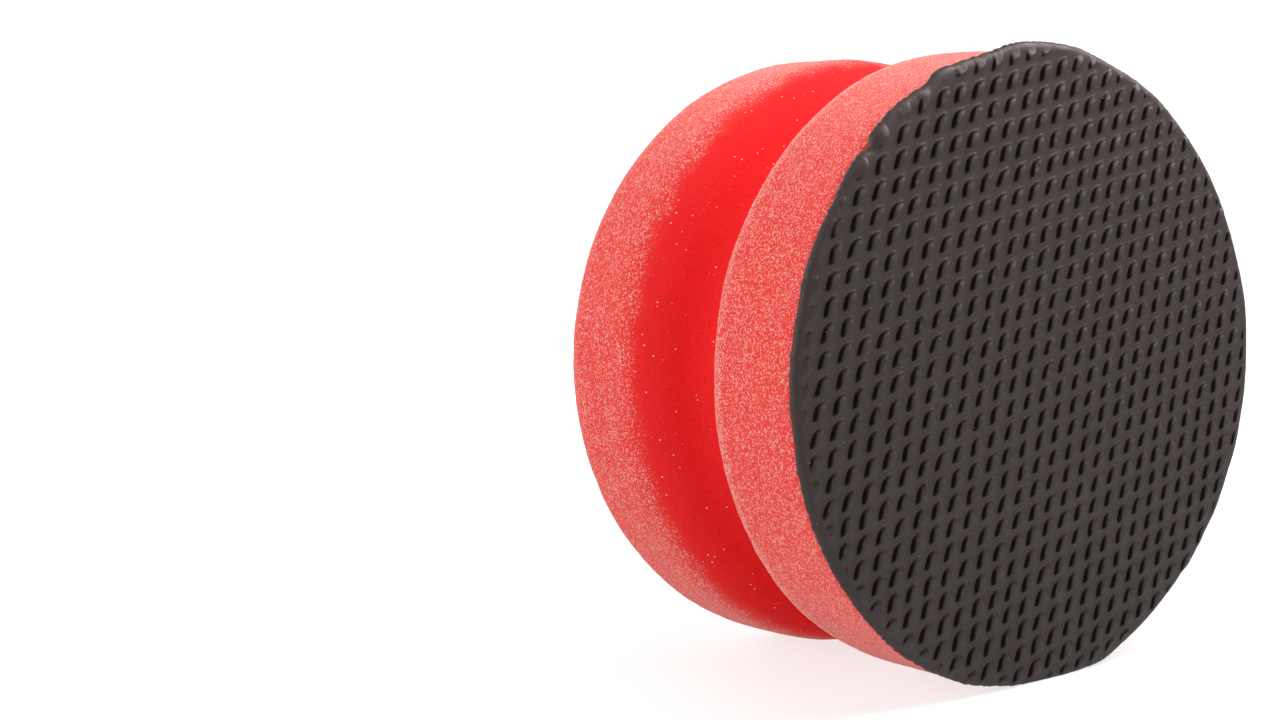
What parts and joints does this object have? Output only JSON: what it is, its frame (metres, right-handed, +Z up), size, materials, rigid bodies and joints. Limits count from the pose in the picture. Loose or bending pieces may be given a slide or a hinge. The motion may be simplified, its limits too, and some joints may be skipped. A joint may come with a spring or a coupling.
{
  "type": "clay puck",
  "caption": "Round hand pad for car paint: a foam spool with a finger groove and an embossed sheet of rubber clay bonded over its front.",
  "frame": {"origin": "on the ground, half way along the puck and straight below its axis, where it stands on its rim", "axes": "+Z up, the puck's axis along Y, the clay facing -Y and the palm end facing +Y"},
  "size_m": [0.102, 0.0614, 0.1006],
  "materials": {
    "foam": "open-cell foam, matt",
    "film": "satin adhesive",
    "clay": "dark, semi-matt"
  },
  "bodies": {
    "root": {"foam_grip": "foam", "bond_film": "film", "clay_face": "clay"}
  },
  "joints": []
}
